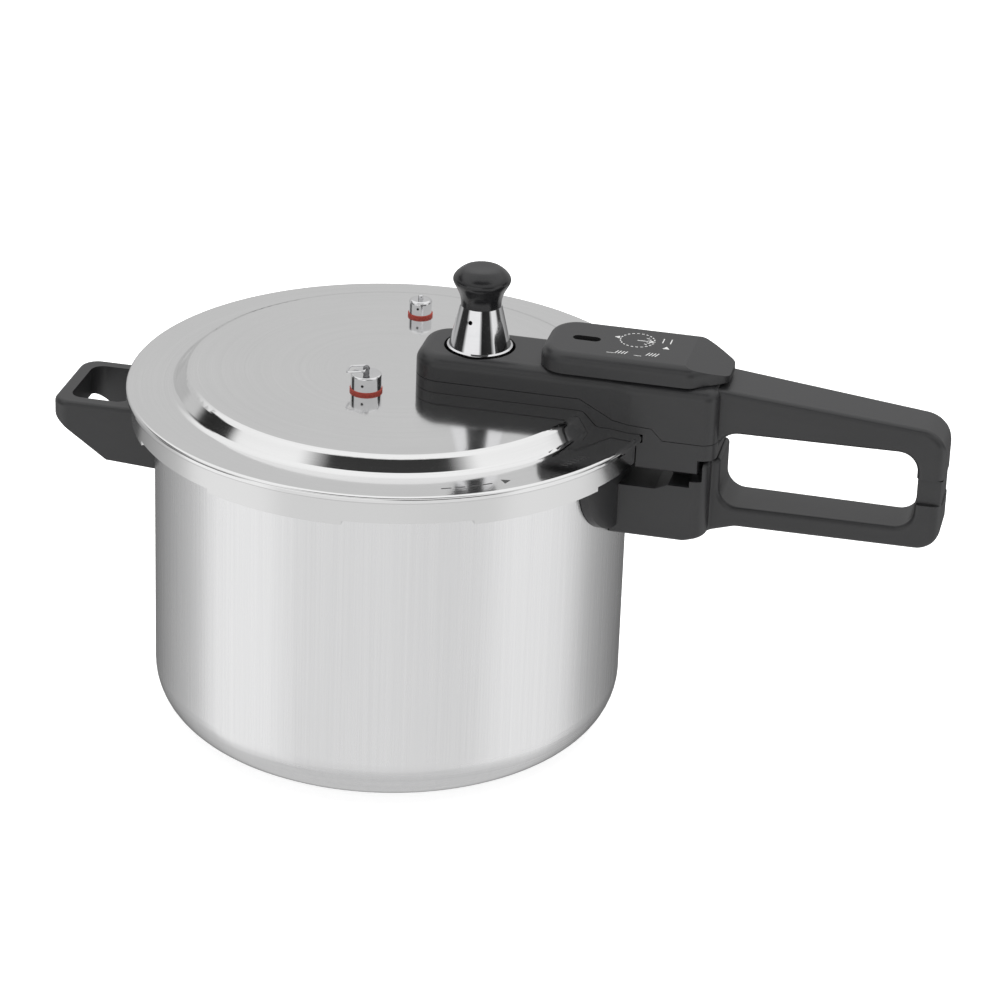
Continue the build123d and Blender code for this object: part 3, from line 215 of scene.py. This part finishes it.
# ---------------------------------------------------------------- black handles
# Phenolic moulding, satin from the mould with a faint flow pattern. The grip, the cover below it,
# the body handle, the helper handle and the slider are all of it.

black_moulding = Finish("black_phenolic", (0.035, 0.035, 0.037), 0.42, 0.0, Specular_IOR_Level=0.55)
x, y, z = black_moulding.place()
point = black_moulding.vector(x, y, z)
orange_peel = black_moulding.noise(point, 900.0, 2.0)
flow = black_moulding.noise(black_moulding.vector(x * 0.35, y, z), 60.0, 5.0, 0.65)
fine = black_moulding.noise(point, 3800.0, 2.0, 0.7)
black_moulding.set("Base Color", black_moulding.shade(flow * 0.7 + fine * 0.3, (0.013, 0.013, 0.014), (0.027, 0.027, 0.028)))
black_moulding.set("Roughness", 0.26 + flow * 0.14 + fine * 0.06)
black_moulding.bump(orange_peel * 0.7 + fine * 0.3, 0.00005, 0.35)
black_moulding.on("lid_handle_upper", "lid_handle_lower", "body_handle", "helper_handle", "lock_slider")

black_knob = Finish("black_knob", (0.02, 0.02, 0.021), 0.3, 0.0, Specular_IOR_Level=0.55)
x, y, z = black_knob.place()
point = black_knob.vector(x, y, z)
flow = black_knob.noise(point, 90.0, 4.0, 0.6)
black_knob.set("Base Color", black_knob.shade(flow, (0.006, 0.006, 0.007), (0.018, 0.018, 0.019)))
black_knob.set("Roughness", 0.16 + flow * 0.12)
black_knob.bump(black_knob.noise(point, 1200.0, 2.0), 0.00003, 0.3)
black_knob.on("weight_knob")


# ---------------------------------------------------------------- printed marks on the slider
# White pad print: a dotted dial with a pointer, small triangles and two groups of slanted ticks,
# 0.04 mm of paint on the slider's flat top. It stands for the maker's lock symbols.

def new_marks_rule():
    """A node group that sets bars in a row or round a ring, each by one rule from its number."""
    tree = bpy.data.node_groups.new("row or ring of marks", "GeometryNodeTree")
    tree.interface.new_socket("Geometry", in_out="OUTPUT", socket_type="NodeSocketGeometry")
    for name, kind in (("Count", "Int"), ("Start", "Vector"), ("Step", "Vector"), ("Radius", "Float"),
                       ("First Angle", "Float"), ("Angle Step", "Float"), ("Tilt", "Float"), ("Size", "Vector"),
                       ("Material", "Material")):
        tree.interface.new_socket(name, in_out="INPUT", socket_type="NodeSocket" + kind)
    rule = Shading(tree)
    given = rule.add("NodeGroupInput").socket.node.outputs
    inputs = {name: Value(rule, given[name]) for name in given.keys() if name}
    number = rule.add("GeometryNodeInputIndex")
    angle = inputs["First Angle"] + number * inputs["Angle Step"]
    ring = rule.vector(angle.maths("COSINE", angle) * inputs["Radius"], angle.maths("SINE", angle) * inputs["Radius"], 0.0)
    along = rule.add("VectorMath", {"operation": "SCALE"}, inputs["Step"], Scale=number)
    from_start = rule.add("VectorMath", {"operation": "ADD"}, inputs["Start"], along)
    centre = rule.add("VectorMath", {"operation": "ADD"}, from_start, ring)
    points = rule.add("GeometryNodePoints", None, Count=inputs["Count"], Position=centre)
    bar = rule.add("GeometryNodeMeshCube", None, Size=inputs["Size"])
    turned = rule.add("FunctionNodeEulerToRotation", None, rule.vector(0.0, 0.0, angle + inputs["Tilt"]))
    set_out = rule.add("GeometryNodeInstanceOnPoints", None, Points=points, Instance=bar, Rotation=turned)
    real = rule.add("GeometryNodeRealizeInstances", None, set_out)
    painted = rule.add("GeometryNodeSetMaterial", None, Geometry=real, Material=inputs["Material"])
    rule.feed(tree.nodes.new("NodeGroupOutput").inputs["Geometry"], painted)
    return tree


marks_rule = new_marks_rule()


def marks(name, body, finish, **given):
    """Bars set out by the rule, as one finished mesh on a body."""
    piece = bpy.data.objects.new(name, bpy.data.meshes.new(name))
    bpy.context.scene.collection.objects.link(piece)
    modifier = piece.modifiers.new("marks", "NODES")
    modifier.node_group = marks_rule
    given["Material"] = finish.material
    for item in marks_rule.interface.items_tree:
        key = item.name.replace(" ", "_")
        if item.in_out == "INPUT" and key in given:
            modifier[item.identifier] = given[key]
    bpy.context.view_layer.update()
    seen_piece = piece.evaluated_get(bpy.context.evaluated_depsgraph_get())
    mesh = bpy.data.meshes.new_from_object(seen_piece)
    piece.modifiers.clear()
    piece.data = mesh
    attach(piece, body)
    return piece


def plate(name, body, finish, outline, base, thickness):
    """A thin flat plate with the given outline, counter-clockwise seen from above."""
    count = len(outline)
    points = [(px, py, base) for px, py in outline] + [(px, py, base + thickness) for px, py in outline]
    faces = [tuple(reversed(range(count))), tuple(range(count, 2 * count))]
    faces += [(side, (side + 1) % count, (side + 1) % count + count, side + count) for side in range(count)]
    mesh = bpy.data.meshes.new(name)
    mesh.from_pydata(points, [], faces)
    mesh.materials.append(finish.material)
    piece = bpy.data.objects.new(name, mesh)
    bpy.context.scene.collection.objects.link(piece)
    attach(piece, body)
    return piece


def triangle(centre_x, centre_y, size, heading):
    corners = [heading, heading + 2 * pi / 3, heading + 4 * pi / 3]
    return [(centre_x + size * cos(corner), centre_y + size * sin(corner)) for corner in corners]


print_ink = Finish("white_pad_print", (0.75, 0.75, 0.74), 0.5)
x, y, z = print_ink.place()
ink_wear = print_ink.noise(print_ink.vector(x, y, z), 2600.0, 4.0, 0.7)
print_ink.set("Base Color", print_ink.shade(ink_wear, (0.42, 0.42, 0.42), (0.86, 0.86, 0.85)))
print_ink.set("Roughness", 0.4 + ink_wear * 0.25)
print_ink.bump(ink_wear, 0.00002, 0.4)

slider_low, slider_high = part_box("lock_slider")
ink_height = slider_high[2]
ink_thickness = 0.00004
dial_x = slider_low[0] + 0.0412
dial_y = 0.0046
marks("dial_dots", "lock", print_ink, Count=22, Start=(dial_x, dial_y, ink_height), Radius=0.0078,
      Angle_Step=2 * pi / 22, Size=(0.0006, 0.0012, ink_thickness))
marks("dial_ticks", "lock", print_ink, Count=5, Start=(dial_x, dial_y, ink_height), Radius=0.0056, First_Angle=-0.7,
      Angle_Step=0.35, Size=(0.0016, 0.0005, ink_thickness))
marks("left_ticks", "lock", print_ink, Count=4, Start=(dial_x - 0.0065, -0.0112, ink_height), Step=(0.0014, 0.0, 0.0),
      Tilt=-0.35, Size=(0.0005, 0.0034, ink_thickness))
marks("right_ticks", "lock", print_ink, Count=4, Start=(dial_x + 0.0075, -0.0098, ink_height), Step=(0.0014, 0.0, 0.0),
      Tilt=-0.35, Size=(0.0005, 0.0038, ink_thickness))
marks("base_lines", "lock", print_ink, Count=2, Start=(dial_x - 0.0092, -0.0128, ink_height), Step=(0.0125, 0.0, 0.0),
      Size=(0.0034, 0.0004, ink_thickness))
marks("side_brackets", "lock", print_ink, Count=2, Start=(dial_x + 0.0115, 0.0072, ink_height), Step=(0.0036, 0.0, 0.0),
      Size=(0.0005, 0.0052, ink_thickness))
marks("pointer_shaft", "lock", print_ink, Count=1, Start=(dial_x + 0.0025, dial_y, ink_height),
      Size=(0.0052, 0.0006, ink_thickness))
for number, (mark_x, mark_y, mark_size, heading) in enumerate((
        (dial_x + 0.0065, dial_y, 0.0018, 0.0), (dial_x - 0.0092, dial_y + 0.0012, 0.0016, pi),
        (dial_x + 0.0142, -0.0008, 0.0019, pi / 2))):
    plate(f"print_triangle_{number}", "lock", print_ink, triangle(mark_x, mark_y, mark_size, heading),
          ink_height, ink_thickness / 2)


# ---------------------------------------------------------------- stamped marks on the lid
# Plain dashes, ticks and a small triangle on the lid's outer ring, 0.02 mm of etched, duller
# metal. They show which way the lid closes.

dark_etch = Finish("dark_etched_aluminium", (0.12, 0.12, 0.12), 0.5, 1.0)
x, y, z = dark_etch.place()
etch_grain = dark_etch.noise(dark_etch.vector(x, y, z), 5200.0, 3.0, 0.6)
dark_etch.set("Base Color", dark_etch.shade(etch_grain, (0.06, 0.06, 0.06), (0.20, 0.20, 0.20)))
dark_etch.set("Roughness", 0.4 + etch_grain * 0.2)
dark_etch.bump(etch_grain, 0.00002, 0.4)

ring_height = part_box("safety_valve_gasket")[0][2] - 0.007
etch_thickness = 0.00002
marks("closing_dashes", "lid", dark_etch, Count=4, Start=(0.0, 0.0, ring_height), Radius=0.1145, First_Angle=-1.12,
      Angle_Step=0.055, Size=(0.0009, 0.0046, etch_thickness))
marks("closing_ticks", "lid", dark_etch, Count=6, Start=(0.0, 0.0, ring_height), Radius=0.1140, First_Angle=-0.60,
      Angle_Step=0.022, Tilt=0.5, Size=(0.0034, 0.0008, etch_thickness))
plate("closing_arrow", "lid", dark_etch, triangle(0.1145 * cos(-0.88), 0.1145 * sin(-0.88), 0.0026, -0.88 + pi / 2),
      ring_height, etch_thickness / 2)


# ---------------------------------------------------------------- plated metal
# Turned brass with bright chrome: the regulator's weight, the vent pipe and both valves.
# Turning leaves fine rings, and handling leaves faint smudges.

chrome = Finish("chrome_plate", (0.80, 0.80, 0.81), 0.07, 1.0)
x, y, z = chrome.place()
turning = chrome.noise(chrome.vector(z * 3000, x * 30, y * 30), 1.0, 2.0)
smudges = chrome.noise(chrome.vector(x, y, z), 160.0, 4.0, 0.6)
chrome.set("Roughness", 0.035 + chrome.ramp(smudges, 0.4, 0.8) * 0.09 + turning * 0.02)
chrome.set("Base Color", chrome.shade(smudges * 0.6 + turning * 0.4, (0.70, 0.70, 0.71), (0.88, 0.88, 0.89)))
chrome.bump(turning, 0.000012, 0.3)
chrome.on("weight_body", "vent_pipe", "vent_nut", "safety_valve_body", "safety_valve_nut", "relief_valve_body",
          "relief_valve_nut", "relief_plunger", "float_guide", "needle_stud", "float_pin", "detent_ball",
          "safety_pull_ring", "safety_spring", "relief_spring", "detent_spring")

dark_steel = Finish("dark_stem_steel", (0.30, 0.30, 0.31), 0.2, 1.0)
x, y, z = dark_steel.place()
wear = dark_steel.noise(dark_steel.vector(x, y, z), 700.0, 4.0, 0.6)
dark_steel.set("Base Color", dark_steel.shade(wear, (0.10, 0.10, 0.105), (0.42, 0.42, 0.43)))
dark_steel.set("Roughness", 0.14 + wear * 0.2)
dark_steel.bump(wear, 0.00002, 0.3)
dark_steel.on("safety_stem")

strap_steel = Finish("strap_steel", (0.58, 0.58, 0.60), 0.35, 1.0)
x, y, z = strap_steel.place()
rolled = strap_steel.noise(strap_steel.vector(x * 60, y * 900, z * 900), 1.0, 3.0, 0.6)
strap_steel.set("Base Color", strap_steel.shade(rolled, (0.45, 0.45, 0.47), (0.68, 0.68, 0.70)))
strap_steel.set("Roughness", 0.26 + rolled * 0.2)
strap_steel.bump(rolled, 0.00003, 0.4)
strap_steel.on("body_bracket", "helper_bracket", "lid_bracket", "lock_bolt", "vent_filter", "body_rivets",
               "helper_rivets", "body_handle_screw", "helper_handle_screw", "cover_screws", "lid_screws", "slider_screws")


# ---------------------------------------------------------------- seals
# Moulded silicone rubber: red rings under the two valves and grey rings elsewhere, dull and soft,
# with a little dust.

def rubber(name, dark, light):
    """Silicone rubber between two shades."""
    finish = Finish(name, light, 0.6, 0.0, Specular_IOR_Level=0.4)
    px, py, pz = finish.place()
    dust = finish.noise(finish.vector(px, py, pz), 420.0, 4.0, 0.65)
    finish.set("Base Color", finish.shade(dust, dark, light))
    finish.set("Roughness", 0.5 + dust * 0.25)
    return finish.bump(dust, 0.00004, 0.4)


rubber("red_silicone", (0.30, 0.035, 0.025), (0.50, 0.085, 0.06)).on("safety_valve_gasket", "relief_valve_gasket")
rubber("grey_silicone", (0.24, 0.24, 0.24), (0.40, 0.40, 0.39)).on(
    "sealing_gasket", "lid_screw_seals", "vent_washer", "float_seal")


# ---------------------------------------------------------------- studio
# A pale floor under one soft box and the studio room's light, and the camera.

def stage_plane(name, corners, material):
    mesh = bpy.data.meshes.new(name)
    mesh.from_pydata([tuple(corner) for corner in corners], [], [(0, 1, 2, 3)])
    mesh.materials.append(material)
    plane = bpy.data.objects.new(name, mesh)
    bpy.context.scene.collection.objects.link(plane)
    plane.visible_glossy = False
    return plane


floor_finish = Finish("pale_floor", (0.93, 0.93, 0.93), 0.7, Emission_Color=(1.0, 1.0, 1.0, 1.0),
                      Emission_Strength=0.55)
floor_reach = 6.0
stage_plane("floor", [(-floor_reach, -floor_reach, -0.0002), (floor_reach, -floor_reach, -0.0002),
                      (floor_reach, floor_reach, -0.0002), (-floor_reach, floor_reach, -0.0002)], floor_finish.material)

# The room that polished metal mirrors: pale, with upright panels all round, and a dark side
# high in front where nothing stands.
azimuth = radians(12.0)
level_right = Vector((cos(azimuth), sin(azimuth), 0.0))
level_front = Vector((sin(azimuth), -cos(azimuth), 0.0))

world = bpy.data.worlds.new("studio")
bpy.context.scene.world = world
world.use_nodes = True
room = Shading(world.node_tree)
x, y, z = room.place("Generated")
across = x * level_right.x + y * level_right.y
towards = x * level_front.x + y * level_front.y
turn = across.maths("ARCTAN2", across, towards) / (2 * pi) + 0.5
panels = room.add("ValToRGB", {"stops": [
    (0.00, 0.08), (0.07, 0.20), (0.16, 0.45), (0.215, 0.62), (0.24, 0.98), (0.35, 0.96), (0.372, 0.80),
    (0.50, 0.82), (0.632, 0.78), (0.66, 0.94), (0.77, 0.88), (0.82, 0.45), (0.92, 0.20), (1.00, 0.08)]}, turn)
level_panels = room.add("ValToRGB", {"stops": [
    (0.00, 0.50), (0.18, 0.50), (0.21, 0.03), (0.31, 0.03), (0.345, 1.00), (0.49, 1.00), (0.52, 0.02), (0.62, 0.03),
    (0.66, 0.95), (0.72, 0.90), (0.75, 0.05), (0.80, 0.05), (0.84, 0.50), (1.00, 0.50)]}, turn)
height = z.maths("ARCSINE", z) / (pi / 2)
upper = room.add("ValToRGB", {"stops": [
    (0.0, 0.60), (0.24, 0.60), (0.30, 0.62), (0.40, 0.95), (0.70, 1.0), (1.0, 1.0)]}, height)
front = room.ramp(towards, 0.20, 0.35)
dark_front = room.ramp(abs(turn - 0.5), 0.175, 0.12) * room.ramp(height, 0.50, 0.56) * room.ramp(height, 0.82, 0.74)
dark_left = room.ramp(abs(turn - 0.185), 0.06, 0.03) * room.ramp(abs(height - 0.31), 0.10, 0.06)
above = room.ramp(height, -0.02, 0.06)
level = room.ramp(abs(height - 0.02), 0.12, 0.09)
seen = room.add("Mix", {"data_type": "RGBA"}, output=2)
seen_node = seen.socket.node
room.feed(seen_node.inputs[0], above)
room.feed(seen_node.inputs[6], panels)
room.feed(seen_node.inputs[7], upper)
striped = room.add("Mix", {"data_type": "RGBA"}, output=2)
striped_node = striped.socket.node
room.feed(striped_node.inputs[0], level)
room.feed(striped_node.inputs[6], seen)
room.feed(striped_node.inputs[7], level_panels)
darkened = room.shade(dark_front * front + dark_left, (1.0, 1.0, 1.0), (0.04, 0.04, 0.04))
product = room.add("Mix", {"data_type": "RGBA", "blend_type": "MULTIPLY"}, output=2)
product_node = product.socket.node
room.feed(product_node.inputs[0], 1.0)
room.feed(product_node.inputs[6], striped)
room.feed(product_node.inputs[7], darkened)
below = room.add("Mix", {"data_type": "RGBA"}, output=2)
below_node = below.socket.node
room.feed(below_node.inputs[0], room.ramp(height, -0.42, -0.62))
room.feed(below_node.inputs[6], product)
room.feed(below_node.inputs[7], (0.62, 0.62, 0.62, 1.0))
background = world.node_tree.nodes["Background"]
room.feed(background.inputs["Color"], below)
background.inputs["Strength"].default_value = 1.0


def soft_box(name, place, aim, width, height, power):
    """A lamp that lights the object and isn't mirrored in it."""
    light = bpy.data.lights.new(name, "AREA")
    light.shape = "RECTANGLE"
    light.size = width
    light.size_y = height
    light.energy = power
    lamp = bpy.data.objects.new(name, light)
    bpy.context.scene.collection.objects.link(lamp)
    lamp.location = place
    lamp.rotation_euler = (Vector(aim) - Vector(place)).to_track_quat("-Z", "Y").to_euler()
    lamp.visible_glossy = False
    return lamp


soft_box("top_box", (0.0, 0.2, 2.0), (0.0, 0.0, 0.1), 2.4, 2.4, 30.0)

elevation = radians(25.39)
roll = radians(2.13)
target = Vector((0.0498, 0.0106, 0.1066))
distance = 1.787
back = level_front * cos(elevation) + Vector((0.0, 0.0, sin(elevation)))
level_up = back.cross(level_right)
right = level_right * cos(roll) + level_up * sin(roll)
up = level_up * cos(roll) - level_right * sin(roll)
camera_data = bpy.data.cameras.new("camera")
camera_data.lens = 137.6
camera_data.sensor_width = 36.0
camera = bpy.data.objects.new("camera", camera_data)
bpy.context.scene.collection.objects.link(camera)
camera.matrix_world = Matrix.Translation(target + back * distance) @ Matrix((right, up, back)).transposed().to_4x4()
bpy.context.scene.camera = camera
bpy.context.scene.view_settings.view_transform = "Standard"
